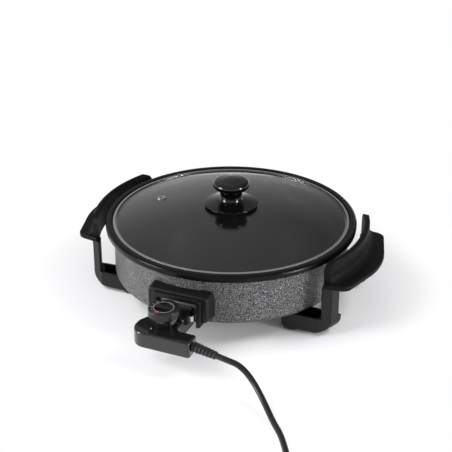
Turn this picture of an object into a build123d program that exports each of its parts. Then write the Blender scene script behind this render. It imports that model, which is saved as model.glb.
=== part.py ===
from build123d import *
import os
from math import asin, atan2, ceil, cos, degrees, hypot, pi, radians, sin, sqrt, tan

# Electric paella pan with a lift-off glass lid and a plug-in heat control.
# Millimetres. The origin is on the pan axis at table level, +X towards the right grip,
# -Y towards the socket and its control, +Z up.

# Pan casting
wall_radius = 152.5
wall = 2.6
skirt = 3.2
skirt_bottom = 28.7
skirt_round = 6.0
skirt_flange = 10.0
flange_thickness = 3.0
cook_floor = 52.0
floor_thickness = 5.0
bowl_round = 24.0
rim_overhang = 10.5
rim_rise = 6.4
rim_depth = 9.8
rim_draft = 0.6
rim_round = 3.2
rim_lip_round = 2.0
rim_neck_round = 1.6
rim_fall = 0.4
rim_inner_round = 1.0
ledge_width = 4.9
ledge_height = 94.4
ledge_round = 0.8
flange_round = 1.0
skirt_inner_round = 2.5

# Heating element under the cooking floor
element_inset = 52.5
element_tube = 4.0
element_groove_gap = 0.1
element_rib_width = 14.0
element_rib_depth = 4.0
lead_spacing = 25.0
lead_bend = 14.0
lead_drop = 4.0
pin_radius = 3.1
pin_length = 9.3
bead_radius = 4.9

# Probe pocket cast under the floor
probe_radius = 3.0
probe_gap = 0.35
probe_depth = 32.0
pocket_width = 13.0

# Socket on the pan wall
socket_gap = 0.8
plate_below = 6.0
plate_thickness = 1.4
earth_tab_width = 12.0
earth_tab_thickness = 1.2
block_width = 79.0
block_below = 5.5
block_above = 29.5
block_depth = 12.0
block_corner = 6.0
block_edge = 3.2
block_draft = 6.0
hood_width = 64.0
hood_below = 11.5
hood_above = 26.5
hood_depth = 4.0
hood_wall = 6.0
hood_corner = 4.0
hood_edge = 1.2
web = 2.5
shroud_overlap = 15.0
shroud_wall_gap = 0.1
seat_gap = 0.02
socket_screw_spacing = 42.0
socket_screw_rise = 15.5

# Screws, shared by every screwed joint
screw_radius = 1.85
screw_head_radius = 3.6
screw_head = 2.4
screw_hole_gap = 0.08
screw_pass_gap = 0.25
screw_end_gap = 1.0
screw_head_round = 0.45
lug_radius = 6.5
small_lug_radius = 4.5

# Legs and feet
leg_gap = 18.5
leg_thickness = 10.5
leg_inset = 0.6
leg_slant = 4.2
leg_sweep = 5.8
leg_corner = 2.0
leg_heel = 16.0
foot_height = 5.0
arm_drop = 3.7
boss_inset = 40.0
boss_y = 68.0
boss_radius = 14.0
boss_web = 6.0
trough_wall = 3.0
trough_floor = 3.0
foot_radius = 12.0
foot_edge = 1.5

# Grips
grip_gap = 9.0
grip_drop = 32.8
grip_thickness = 7.0
grip_reach = 31.0
grip_shoulder_reach = 25.0
grip_shoulder_y = 36.0
grip_end_reach = 12.5
grip_end_y = 78.0
grip_corner_back = 20.5
grip_corner_y = 82.5
grip_end_round = 14.0
grip_corner_round = 3.0
grip_edge = 2.2
guard_thickness = 7.6
guard_height = 35.2
guard_half_span = 77.0
guard_end_round = 12.0
guard_flare = 10.0
guard_flare_reach = 12.0
guard_sink = 0.2
guard_round_share = 0.42
grip_screw_depth = 18.0
leg_screw_web = 10.0

# Glass lid
lid_gap = 0.3
band_side_gap = 1.3
band_sheet = 0.6
band_lap = 3.4
band_lip = 8.5
band_lip_gap = 1.2
glass = 3.5
glass_fit = 0.15
glass_flange = 5.0
dome_height = 18.6
vent_radius = 98.5
vent_angle = 182.6
vent_flange_radius = 5.6
vent_tube_radius = 3.8
vent_hole_radius = 2.4
vent_flange = 0.8
vent_fit = 0.2
vent_lift = 0.1

# Lid knob
knob_seal_radius = 11.0
knob_seal = 0.8
skirt_disc_radius = 34.8
skirt_disc_rise = 7.4
skirt_disc_edge = 1.6
skirt_disc_hollow = 3.1
skirt_disc_step = 1.5
skirt_disc_lip = 3.0
skirt_disc_lip_rise = 0.4
skirt_disc_brow = 24.3
skirt_disc_brow_rise = 4.6
skirt_disc_curve = 14.0
skirt_disc_soft = 1.0
skirt_disc_rim_round = 0.5
knob_neck_radius = 14.4
knob_foot_radius = 15.3
knob_radius = 23.3
knob_neck_height = 10.5
knob_foot = 2.0
knob_waist = 20.4
knob_crown = 8.1
knob_flare = (0.7, 1.0)
knob_screw_radius = 2.5
knob_screw_depth = 14.0
knob_washer_radius = 8.0
knob_washer = 1.0
knob_screw_head = 2.6
knob_screw_head_radius = 4.6
knob_pass_gap = 0.3
glass_hole_gap = 0.6

# Heat control housing
control_below = 12.5
control_above = 8.0
control_wall = 2.2
control_length = 72.4
control_right = 46.0
arm_reach = 51.0
control_left = 31.0
bulge_reach = 47.0
nose_half_width = 19.5
nose_neck = 24.0
nose_clearance = 0.8
nose_above = 11.0
nose_length = 32.0
nose_round = 4.5
nose_front_round = 2.0
nose_corner = 1.5
nose_fillet = 12.0
arm_fillet = 8.0
arm_corner = 3.4
bulge_front_round = 17.0
bulge_back_round = 12.0
top_edge = 2.4
base_edge = 1.6
control_screw_places = ((-20.0, 59.0), (34.0, 61.5), (13.8, 36.0))
control_post_radius = 3.4
control_screw_radius = 1.55
control_screw_head_radius = 2.6
control_screw_seat = 3.4
control_screw_grip = 5.0
control_head_gap = 0.2

# Dial
dial_x = 0.0
dial_reach = 42.0
dial_radius = 19.0
dial_height = 9.5
dial_draft = 0.5
dial_edge = 1.0
dial_lift = 0.5
dial_cup_radius = 11.2
dial_cup = 2.6
dial_bar_width = 5.0
dial_bar_rise = 0.6
dial_flutes = 24
dial_flute_radius = 0.9
dial_flute_stop = 3.2
dial_cup_draft = 0.6
dial_cup_round = 0.4
dial_bar_gap = 0.2
dial_bar_edge = 0.8
collar_radii = (13.4, 14.6, 15.8, 16.8)
collar_step = 2.75
collar_round = 0.6
spindle_radius = 3.0
spindle_gap = 0.08
spindle_grip = 6.0
spindle_grip_gap = 0.03
spindle_edge = 0.4
spindle_hang = 1.0

# Contacts inside the control
sleeve_wall = 1.0
sleeve_gap = 0.35
sleeve_length = 20.0
sleeve_hole_gap = 0.6
spring_start = 2.0
spring_width = 7.0
spring_sheet = 0.6
spring_bow = 4.2
spring_length = 9.0
thermostat_width = 20.0
thermostat_length = 26.0
thermostat_sheet = 1.2
blade_width = 8.0
blade_sheet = 0.7
post_radius = 2.6
post_spacing = 18.0
probe_end_gap = 1.0
bracket_top_gap = 1.0

# Mains cord, strain relief and plug
cord = 7.0
relief_reach = 62.0
relief_below = 1.0
relief_run = (31.5, -4.3, -2.4)
relief_root_radius = 6.2
relief_tip_radius = 4.9
relief_groove = 1.2
relief_ribs = 7
relief_root = 5.0
relief_fit = 0.05
rib_rise = (0.2, 0.3)
rib_fall = (0.8, 0.9)
cord_lift = 1.3
coil_pitch = 9.2
coil_layer = 7.9
coil_outer_radius = 46.0
coil_half_turns = 4
coil_lead_in = 20.0
coil_centre = (195.0, -404.0)
coil_heading = (0.3955, -0.9185)
tie_width = 8.0
tie_sheet = 0.9
tie_gap = 0.4
plug_radius = 18.0
plug_boot_radius = 5.6
plug_tail = 20.0
plug_boot = 15.0
plug_taper = 16.0
plug_body = 13.0
plug_pin_radius = 2.4
plug_pin_length = 19.0
plug_pin_spacing = 19.0
plug_boot_draft = 0.8
plug_shoulder_radius = 13.0
plug_shoulder_length = 5.0
plug_shoulder_round = 4.0
plug_soft_round = 6.0
plug_face_round = 1.0
plug_end_round = 0.4
plug_rest_gap = 0.2
cord_bend_share = 0.45
coil_sample = 4.0

# Values that follow from the sizes above
bowl_radius = wall_radius - wall
ledge_radius = bowl_radius + ledge_width
rim_radius = wall_radius + rim_overhang
rim_top = ledge_height + rim_rise
rim_under = rim_top - rim_depth
floor_under = cook_floor - floor_thickness
element_radius = wall_radius - element_inset
lead_height = floor_under - lead_drop
block_front = wall_radius + block_depth
block_bottom = lead_height - block_below
block_top = lead_height + block_above
hood_front = block_front + hood_depth
hood_bottom = lead_height - hood_below
hood_top = lead_height + hood_above
mouth_half = hood_width / 2 - hood_wall
mouth_top = hood_top - hood_wall
socket_back = wall_radius + socket_gap
plate_back = socket_back + web
plate_front = plate_back + plate_thickness
plate_half = mouth_half - lid_gap
plate_bottom = lead_height - plate_below
plate_top = mouth_top - lid_gap
socket_screw_height = lead_height + socket_screw_rise
nose_tip = plate_front + nose_clearance
bead_end = plate_front
pin_end = bead_end + pin_length
sleeve_bore = pin_radius + sleeve_gap
sleeve_radius = sleeve_bore + sleeve_wall
sleeve_start = nose_tip + control_wall
grip_inner_radius = rim_radius + grip_gap
grip_bottom = rim_top - grip_drop
grip_top = grip_bottom + grip_thickness
grip_apex = grip_inner_radius + grip_reach
grip_shoulder_x = grip_inner_radius + grip_shoulder_reach
grip_end_x = grip_inner_radius + grip_end_reach
grip_corner_x = grip_inner_radius - grip_corner_back
guard_top = grip_bottom + guard_height
leg_inner_radius = wall_radius + leg_gap
leg_outer_radius = leg_inner_radius + leg_thickness
leg_near_angle = degrees(asin((grip_corner_y - leg_inset) / leg_inner_radius))
grip_screw_radius = leg_inner_radius + leg_thickness / 2
grip_screw_angle = leg_near_angle - (leg_slant + leg_sweep) / 2
arm_height = skirt_bottom - foot_height - arm_drop
arm_top = foot_height + arm_height
boss_x = wall_radius - boss_inset
band_radius = ledge_radius - band_side_gap
band_bottom = ledge_height + lid_gap
band_height = glass + 2 * band_sheet + 2 * glass_fit
band_top = band_bottom + band_height
glass_radius = band_radius - band_sheet - glass_fit
glass_under = band_bottom + band_sheet + glass_fit
dome_edge = glass_radius - glass_flange
dome_top = glass_under + glass + dome_height
dome_under = dome_top - glass
knob_base = dome_top + knob_seal
skirt_disc_top = knob_base + skirt_disc_rise
control_bottom = lead_height - control_below
control_top = lead_height + control_above
control_front = nose_tip + control_length
control_back = nose_tip + arm_reach
bulge_back = nose_tip + bulge_reach
nose_shoulder = nose_tip + nose_neck
nose_top = lead_height + nose_above
control_screw_points = [(x, -nose_tip - reach) for x, reach in control_screw_places]
dial_y = -nose_tip - dial_reach
collar_top = control_top + collar_step * len(collar_radii)
dial_bottom = collar_top + dial_lift
dial_top = dial_bottom + dial_height
split_height = lead_height
relief_start = (control_right, -nose_tip - relief_reach, lead_height - relief_below)
relief_end = tuple(start + run for start, run in zip(relief_start, relief_run))
leg_places = (
    (1, -1, "front_right_leg"),
    (1, 1, "rear_right_leg"),
    (-1, -1, "front_left_leg"),
    (-1, 1, "rear_left_leg"),
)
stand = (Align.CENTER, Align.CENTER, Align.MIN)

# Route of the cord from the strain relief to the coil, lying on the table from the eighth point on
table_cord = cord / 2
coil_cord = cord / 2 + cord_lift
first_run = 0.5
cord_route = [
    relief_end,
    tuple(end + first_run * (end - start) for start, end in zip(relief_start, relief_end)),
    (104.6, -225.4, 35.6),
    (116.4, -227.3, 28.6),
    (127.9, -232.8, 20.4),
    (139.3, -241.8, 13.2),
    (151.6, -254.6, 8.2),
    (164.7, -270.2, 4.9),
    (180.0, -286.5, table_cord),
    (193.5, -308.5, table_cord),
    (206.5, -330.5, table_cord),
]


def spin(points, radii):
    """Solid of revolution about Z from (radius, height) points with rounded corners."""
    outline = FilletPolyline(*points, radius=radii, close=True)
    return revolve(Plane.XZ * make_face(outline), Axis.Z)


def plate_of(points, radii, bottom, top):
    """Upright prism from a plan outline with rounded corners."""
    outline = FilletPolyline(*points, radius=radii, close=True)
    return Pos(0, 0, bottom) * extrude(make_face(outline), top - bottom)


def rod(x, y, bottom, top, radius):
    """Upright cylinder between two heights."""
    return Pos(x, y, bottom) * Cylinder(radius, top - bottom, align=stand)


def front_rod(x, z, back, front, radius):
    """Cylinder along -Y between two distances in front of the pan axis."""
    plane = Plane((x, -back, z), x_dir=(1, 0, 0), z_dir=(0, -1, 0))
    return plane * Cylinder(radius, front - back, align=stand)


def block(x_low, x_high, y_low, y_high, z_low, z_high):
    """Box between two corners."""
    size = (x_high - x_low, y_high - y_low, z_high - z_low)
    return Pos(x_low, y_low, z_low) * Box(*size, align=(Align.MIN, Align.MIN, Align.MIN))


def polar(radius, angle):
    """Plan point at a radius and an angle in degrees from +X."""
    return (radius * cos(radians(angle)), radius * sin(radians(angle)))


def four_corners(shape):
    """The shape at all four mirrored places round the pan."""
    right = [shape, mirror(shape, about=Plane.XZ)]
    return right + [mirror(item, about=Plane.YZ) for item in right]


def screw(head_radius, shank_radius, length):
    """Pan-head screw pointing up, its seat at height 0."""
    head = spin(
        [(0, -screw_head), (head_radius, -screw_head), (head_radius, 0), (0, 0)],
        [0, screw_head * screw_head_round, 0, 0],
    )
    return head + rod(0, 0, 0, length, shank_radius)


def element_path():
    """Centre line of the tubular element: a lead, the open ring and the other lead."""
    half = lead_spacing / 2
    bend_x = half + lead_bend
    reach = element_radius + lead_bend
    bend_y = -sqrt(reach**2 - bend_x**2)
    turn = degrees(atan2(bend_y, bend_x))
    lead_end = (half, -socket_back, lead_height)
    lead_start = (half, bend_y, lead_height)
    centre = (bend_x, bend_y, lead_height)
    right_lead = Line(lead_end, lead_start)
    right_bend = CenterArc(centre, lead_bend, 180, turn)
    ring = CenterArc((0, 0, lead_height), element_radius, turn, 180 - 2 * turn)
    left_bend = mirror(right_bend, about=Plane.YZ)
    left_lead = mirror(right_lead, about=Plane.YZ)
    return Wire([right_lead.edge(), right_bend.edge(), ring.edge(), left_bend.edge(), left_lead.edge()])


def element_sweep(radius):
    """Tube of the given radius along the element's centre line."""
    path = element_path()
    section = Plane(path @ 0, z_dir=path % 0) * Circle(radius)
    return sweep(section, path)


def make_pan():
    """Casting with a rolled rim, a ledge for the lid, a raised cooking floor and a skirt below it."""
    flange_radius = wall_radius - skirt_flange
    skirt_inner = wall_radius - skirt
    pan = spin(
        [
            (0, cook_floor),
            (bowl_radius, cook_floor),
            (bowl_radius, ledge_height),
            (ledge_radius, ledge_height),
            (ledge_radius, rim_top - rim_fall),
            (rim_radius, rim_top),
            (rim_radius - rim_draft, rim_under),
            (wall_radius, rim_under),
            (wall_radius, skirt_bottom),
            (flange_radius, skirt_bottom),
            (flange_radius, skirt_bottom + flange_thickness),
            (skirt_inner, skirt_bottom + flange_thickness),
            (skirt_inner, floor_under),
            (0, floor_under),
        ],
        [0, bowl_round, ledge_round, ledge_round, rim_inner_round, rim_round, rim_lip_round]
        + [rim_neck_round, skirt_round, flange_round, flange_round]
        + [skirt_inner_round, skirt_inner_round, 0],
    )
    rib_in = element_radius - element_rib_width / 2
    rib_out = element_radius + element_rib_width / 2
    rib_under = floor_under - element_rib_depth
    pan += rod(0, 0, rib_under, floor_under, rib_out) - rod(0, 0, rib_under, floor_under, rib_in)
    pan -= element_sweep(element_tube + element_groove_gap)
    half = lead_spacing / 2
    for side in (-1, 1):
        lead_hole = bead_radius + screw_pass_gap
        pan -= front_rod(side * half, lead_height, rib_in, wall_radius + skirt, lead_hole)
    for x, y in [(sx * boss_x, sy * boss_y) for sx, sy, name in leg_places]:
        pan += rod(x, y, skirt_bottom, floor_under, lug_radius)
        pan -= rod(x, y, skirt_bottom, floor_under - screw_head, screw_radius + screw_hole_gap)
    pocket_under = lead_height - probe_radius - probe_gap - wall
    pocket_end = wall_radius - skirt / 2
    pocket = pocket_width / 2
    pan += block(-pocket, pocket, -pocket_end, -pocket_end + probe_depth, pocket_under, floor_under)
    pocket_bottom = socket_back - probe_depth
    pan -= front_rod(0, lead_height, pocket_bottom, wall_radius + skirt, probe_radius + probe_gap)
    for side in (-1, 1):
        x = side * socket_screw_spacing / 2
        pan += front_rod(x, socket_screw_height, bowl_radius - wall, socket_back, small_lug_radius)
        hole_start = bowl_radius - wall / 2
        pan -= front_rod(x, socket_screw_height, hole_start, socket_back, screw_radius + screw_hole_gap)
    return pan


def make_terminals():
    """Bare terminal pins and the ceramic beads that carry them through the socket plate."""
    pins = []
    beads = []
    for side in (-1, 1):
        x = side * lead_spacing / 2
        pin = front_rod(x, lead_height, socket_back, pin_end, pin_radius)
        tip = pin.faces().sort_by(Axis.Y)[0].edges()
        pins.append(fillet(tip, pin_radius * 0.45))
        bead = front_rod(x, lead_height, socket_back, bead_end, bead_radius)
        beads.append(bead - front_rod(x, lead_height, socket_back, bead_end, pin_radius))
    return Compound(pins), Compound(beads)


def make_socket_plate():
    """Bright steel plate at the back of the hood, with earth tabs that reach forward beside the nose."""
    plate = block(-plate_half, plate_half, -plate_front, -plate_back, plate_bottom, plate_top)
    tab_front = hood_front - hood_wall / 2
    for side in (-1, 1):
        lead = side * lead_spacing / 2
        plate -= front_rod(lead, lead_height, plate_back, plate_front, bead_radius + seat_gap)
        x = side * socket_screw_spacing / 2
        screw_hole = screw_radius + screw_pass_gap
        plate -= front_rod(x, socket_screw_height, plate_back, plate_front, screw_hole)
        ends = sorted((side * plate_half, side * (plate_half - earth_tab_thickness)))
        low = lead_height - earth_tab_width / 2
        plate += block(ends[0], ends[1], -tab_front, -plate_back, low, low + earth_tab_width)
    return plate - front_rod(0, lead_height, plate_back, plate_front, probe_radius + probe_gap)


def make_shroud():
    """Moulded socket surround: a drafted block on the wall and a hood, open below, round the nose."""
    middle = (block_top + block_bottom) / 2
    face = Plane((0, -block_front, middle), x_dir=(1, 0, 0), z_dir=(0, 1, 0))
    outline = face * RectangleRounded(block_width, block_top - block_bottom, block_corner)
    body = extrude(outline, block_front - wall_radius + shroud_overlap, taper=-block_draft)
    body = fillet(body.faces().sort_by(Axis.Y)[0].edges(), block_edge)
    hood_middle = (hood_top + hood_bottom) / 2
    hood_plane = Plane((0, -hood_front, hood_middle), x_dir=(1, 0, 0), z_dir=(0, 1, 0))
    hood_outline = hood_plane * RectangleRounded(hood_width, hood_top - hood_bottom, hood_corner)
    hood = extrude(hood_outline, hood_front - socket_back)
    hood = fillet(hood.faces().sort_by(Axis.Y)[0].edges(), hood_edge)
    shroud = body + hood
    low = hood_bottom - hood_wall
    shroud -= block(-mouth_half, mouth_half, -hood_front - hood_edge, -plate_back, low, mouth_top)
    shroud -= block(-mouth_half, mouth_half, -socket_back, 0, low, mouth_top)
    shroud -= rod(0, 0, low, rim_top, wall_radius + shroud_wall_gap)
    for side in (-1, 1):
        lead = side * lead_spacing / 2
        shroud -= front_rod(lead, lead_height, socket_back, plate_back, bead_radius + seat_gap)
        x = side * socket_screw_spacing / 2
        screw_hole = screw_radius + screw_pass_gap
        shroud -= front_rod(x, socket_screw_height, socket_back, plate_back, screw_hole)
    return shroud - front_rod(0, lead_height, socket_back, plate_back, probe_radius + probe_gap)


def make_shroud_screws():
    """Screws through the plate and the shroud's web into the lugs of the pan wall."""
    length = plate_front - (bowl_radius - wall / 2) - screw_end_gap
    screws = []
    for side in (-1, 1):
        x = side * socket_screw_spacing / 2
        plane = Plane((x, -plate_front, socket_screw_height), x_dir=(1, 0, 0), z_dir=(0, 1, 0))
        screws.append(plane * screw(screw_head_radius, screw_radius, length))
    return Compound(screws)


def leg_outline():
    """Plan of the front right leg: a slanted piece of the ring under the grip."""
    near_outer = leg_near_angle - leg_slant
    return [
        polar(leg_inner_radius, -leg_near_angle),
        polar(leg_outer_radius, -near_outer),
        polar(leg_outer_radius, -(near_outer - leg_sweep)),
        polar(leg_inner_radius, -(leg_near_angle - leg_sweep)),
    ]


def make_leg():
    """Front right leg: an upright, a hollowed arm under the pan and a boss that takes its screw."""
    plan = make_face(Polyline(*leg_outline(), close=True))
    boss = Pos(boss_x, -boss_y) * Circle(boss_radius)
    arm_plan = make_hull(plan.edges() + boss.edges())
    upright = Pos(0, 0, foot_height) * extrude(plan, grip_bottom - foot_height)
    corners = upright.edges().filter_by(Axis.Z)
    upright = fillet(corners, leg_corner)
    leg = upright + Pos(0, 0, foot_height) * extrude(arm_plan, arm_height)
    leg += rod(boss_x, -boss_y, arm_top, skirt_bottom, boss_radius)
    leg &= spin(
        [
            (0, foot_height),
            (leg_outer_radius, foot_height),
            (leg_outer_radius, grip_bottom),
            (0, grip_bottom),
        ],
        [0, leg_heel, 0, 0],
    )
    keep = offset(plan, trough_wall) + Pos(boss_x, -boss_y) * Circle(boss_radius)
    trough = offset(arm_plan, -trough_wall) - keep
    leg -= Pos(0, 0, foot_height + trough_floor) * extrude(trough, arm_height)
    seat = skirt_bottom - boss_web
    leg -= rod(boss_x, -boss_y, foot_height, seat, screw_head_radius + screw_pass_gap * 4)
    leg -= rod(boss_x, -boss_y, seat, skirt_bottom, screw_radius + screw_pass_gap)
    x, y = polar(grip_screw_radius, -grip_screw_angle)
    grip_seat = grip_bottom - leg_screw_web
    leg -= rod(x, y, foot_height, grip_seat, screw_head_radius + screw_pass_gap)
    return leg - rod(x, y, grip_seat, grip_bottom, screw_radius + screw_pass_gap)


def make_leg_screws():
    """Screws from below: one up each boss into the pan, one up each upright into the grip."""
    seat = skirt_bottom - boss_web
    pan_length = floor_under - screw_head - screw_end_gap - seat
    pan_screw = Pos(boss_x, -boss_y, seat) * screw(screw_head_radius, screw_radius, pan_length)
    x, y = polar(grip_screw_radius, -grip_screw_angle)
    grip_length = leg_screw_web + grip_screw_depth - screw_end_gap
    grip_screw = screw(screw_head_radius, screw_radius, grip_length)
    grip_screw = Pos(x, y, grip_bottom - leg_screw_web) * grip_screw
    return Compound(four_corners(pan_screw)), Compound(four_corners(grip_screw))


def make_feet():
    foot = rod(boss_x, -boss_y, 0, foot_height, foot_radius)
    foot = fillet(foot.edges().sort_by(Axis.Z)[0], foot_edge)
    return Compound(four_corners(foot))


def make_grip():
    """Right grip: a flat wing with an upright finger guard that flares into it."""
    outer = (
        ThreePointArc(
            (grip_shoulder_x, -grip_shoulder_y), (grip_apex, 0), (grip_shoulder_x, grip_shoulder_y)
        ),
        Line((grip_shoulder_x, grip_shoulder_y), (grip_end_x, grip_end_y)),
        Line((grip_end_x, grip_end_y), (grip_corner_x, grip_corner_y)),
        ThreePointArc(
            (grip_corner_x, grip_corner_y), (grip_inner_radius, 0), (grip_corner_x, -grip_corner_y)
        ),
        Line((grip_corner_x, -grip_corner_y), (grip_end_x, -grip_end_y)),
        Line((grip_end_x, -grip_end_y), (grip_shoulder_x, -grip_shoulder_y)),
    )
    plan = make_face(Curve() + outer)
    inner_limit = (grip_corner_x + grip_end_x) / 2
    outer_limit = (grip_shoulder_y + grip_end_y) / 2
    ends = [v for v in plan.vertices() if abs(v.Y) > outer_limit and v.X > inner_limit]
    plan = fillet(ends, grip_end_round)
    corners = [v for v in plan.vertices() if v.X < inner_limit]
    plan = fillet(corners, grip_corner_round)
    wing = Pos(0, 0, grip_bottom) * extrude(plan, grip_thickness)
    faces = wing.faces().sort_by(Axis.Z)
    wing = fillet(faces[-1].edges() + faces[0].edges(), grip_edge)
    back = grip_inner_radius + guard_thickness
    guard_round = guard_thickness * guard_round_share
    section = FilletPolyline(
        (grip_inner_radius, grip_bottom + grip_edge),
        (grip_inner_radius, guard_top),
        (back, guard_top),
        (back, grip_top - guard_sink),
        (back + guard_flare_reach, grip_top - guard_sink),
        (back + guard_flare_reach, grip_bottom + grip_edge),
        radius=[0, guard_round, guard_round, guard_flare, 0, 0],
        close=True,
    )
    sweep_angle = 2 * degrees(atan2(grip_corner_y, grip_corner_x))
    guard = revolve(Plane.XZ * make_face(section), Axis.Z, revolution_arc=sweep_angle)
    guard = Rot(0, 0, -sweep_angle / 2) * guard
    side = Plane((0, 0, 0), x_dir=(0, 1, 0), z_dir=(1, 0, 0))
    window = RectangleRounded(2 * guard_half_span, 2 * (guard_top - grip_bottom), guard_end_round)
    guard &= extrude(side * Pos(0, grip_bottom) * window, grip_apex)
    grip = wing + guard
    for end in (-1, 1):
        x, y = polar(grip_screw_radius, end * grip_screw_angle)
        grip -= rod(x, y, grip_bottom, grip_bottom + grip_screw_depth, screw_radius + screw_hole_gap)
    return grip


def dome_point(radius):
    """Height and slope of the outside of the glass at a distance from the axis."""
    curve = (dome_edge**2 + dome_height**2) / (2 * dome_height)
    drop = sqrt(curve**2 - radius**2)
    return dome_top - curve + drop, degrees(atan2(radius, drop))


def vent_plane():
    """Plane on the glass at the vent, with its normal out of the dome."""
    height, slope = dome_point(vent_radius)
    rise = sin(radians(slope))
    fall = cos(radians(slope))
    out_x, out_y = polar(1, vent_angle)
    normal = (rise * out_x, rise * out_y, fall)
    uphill = (-fall * out_x, -fall * out_y, rise)
    return Plane((vent_radius * out_x, vent_radius * out_y, height), x_dir=uphill, z_dir=normal)


def make_lid_glass():
    top = glass_under + glass
    mid_height = dome_point(dome_edge / 2)[0]
    outline = Curve() + (
        Line((0, dome_under), (0, dome_top)),
        ThreePointArc((0, dome_top), (dome_edge / 2, mid_height), (dome_edge, top)),
        Line((dome_edge, top), (glass_radius, top)),
        Line((glass_radius, top), (glass_radius, glass_under)),
        Line((glass_radius, glass_under), (dome_edge, glass_under)),
        ThreePointArc((dome_edge, glass_under), (dome_edge / 2, mid_height - glass), (0, dome_under)),
    )
    lid = revolve(Plane.XZ * make_face(outline), Axis.Z)
    lid -= rod(0, 0, dome_under - glass, dome_top + glass, knob_screw_radius + glass_hole_gap)
    hole = Cylinder(vent_tube_radius + vent_fit, 4 * glass)
    return lid - vent_plane() * hole


def make_lid_band():
    """Rolled steel band round the glass edge with a lip that drops inside the pan."""
    lip_out = bowl_radius - band_lip_gap
    lip_in = lip_out - band_sheet
    lap = band_radius - band_lap
    inner = band_radius - band_sheet
    low = band_bottom + band_sheet
    high = band_top - band_sheet
    return spin(
        [
            (lap, high),
            (inner, high),
            (inner, low),
            (lip_in, low),
            (lip_in, band_bottom - band_lip),
            (lip_out, band_bottom - band_lip),
            (lip_out, band_bottom),
            (band_radius, band_bottom),
            (band_radius, band_top),
            (lap, band_top),
        ],
        [0, 0, 0, 0, 0, 0, 0, band_sheet, band_sheet * 1.6, 0],
    )


def make_vent():
    rise = glass + vent_flange
    collar = Pos(0, 0, vent_flange / 2 + vent_lift) * Cylinder(vent_flange_radius, vent_flange)
    collar = fillet(collar.edges().sort_by(Axis.Z)[-1], vent_flange * 0.5)
    tube = Pos(0, 0, -rise / 2 + vent_lift) * Cylinder(vent_tube_radius, rise)
    return vent_plane() * (collar + tube - Cylinder(vent_hole_radius, 4 * glass))


def make_knob_skirt():
    """Shallow bell under the knob that keeps fingers off the glass."""
    bore = knob_screw_radius + knob_pass_gap
    under = knob_base + skirt_disc_hollow
    rim = skirt_disc_radius
    edge = knob_base + skirt_disc_edge
    return spin(
        [
            (bore, knob_base),
            (knob_seal_radius, knob_base),
            (knob_seal_radius + skirt_disc_step, under),
            (rim - skirt_disc_lip, knob_base + skirt_disc_lip_rise),
            (rim, knob_base),
            (rim, edge),
            (skirt_disc_brow, knob_base + skirt_disc_brow_rise),
            (knob_foot_radius, skirt_disc_top),
            (bore, skirt_disc_top),
        ],
        [0, 0, skirt_disc_soft, 0, skirt_disc_rim_round, skirt_disc_rim_round]
        + [skirt_disc_curve, skirt_disc_soft, 0],
    )


def make_knob():
    """Mushroom knob on a short neck."""
    foot = skirt_disc_top
    bore = knob_screw_radius + screw_hole_gap
    neck_top = foot + knob_neck_height
    waist = foot + knob_waist
    crown = waist + knob_crown
    flare = Spline(
        (knob_neck_radius, neck_top),
        (knob_radius, waist),
        tangents=(knob_flare, (0, 1)),
    )
    brow = cos(radians(45))
    head = Spline(
        (knob_radius, waist),
        (knob_radius * brow, waist + knob_crown * brow),
        (0, crown),
        tangents=((0, 1), (-1, 0)),
    )
    neck = Polyline(
        (0, crown),
        (0, foot),
        (knob_foot_radius, foot),
        (knob_neck_radius, foot + knob_foot),
        (knob_neck_radius, neck_top),
    )
    outline = Curve() + (flare, head, neck)
    knob = revolve(Plane.XZ * make_face(outline), Axis.Z)
    return knob - rod(0, 0, foot, foot + knob_screw_depth, bore)


def make_knob_fastening():
    """Seal above the glass, washer below it and the screw that pulls the knob down."""
    hole = knob_screw_radius + knob_pass_gap
    seal = rod(0, 0, dome_top, knob_base, knob_seal_radius) - rod(0, 0, dome_top, knob_base, hole)
    washer_top = dome_point(knob_washer_radius)[0] - glass
    washer_bottom = washer_top - knob_washer
    washer = rod(0, 0, washer_bottom, washer_top, knob_washer_radius)
    washer -= rod(0, 0, washer_bottom, washer_top, hole)
    length = skirt_disc_top + knob_screw_depth - screw_end_gap - washer_bottom
    head_radius = knob_screw_head_radius
    head = spin(
        [(0, -knob_screw_head), (head_radius, -knob_screw_head), (head_radius, 0), (0, 0)],
        [0, knob_screw_head * screw_head_round, 0, 0],
    )
    bolt = Pos(0, 0, washer_bottom) * (head + rod(0, 0, 0, length, knob_screw_radius))
    return seal, washer, bolt


def control_outline(inset):
    """Plan of the control: the nose, the bulge round the dial and the arm to the cord."""
    nose = nose_half_width - inset
    back = -control_back - inset
    front = -control_front + inset
    right = control_right - inset
    left = -control_left + inset
    points = [
        (nose, -nose_tip - inset),
        (nose, back),
        (right, back),
        (right, front),
        (left, front),
        (left, -bulge_back),
        (-nose, -nose_shoulder),
        (-nose, -nose_tip - inset),
    ]
    tip = max(0, nose_corner - inset)
    radii = [tip, arm_fillet + inset, arm_corner - inset, arm_corner - inset]
    radii += [bulge_front_round - inset, bulge_back_round - inset, nose_fillet + inset, tip]
    return points, radii


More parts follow.
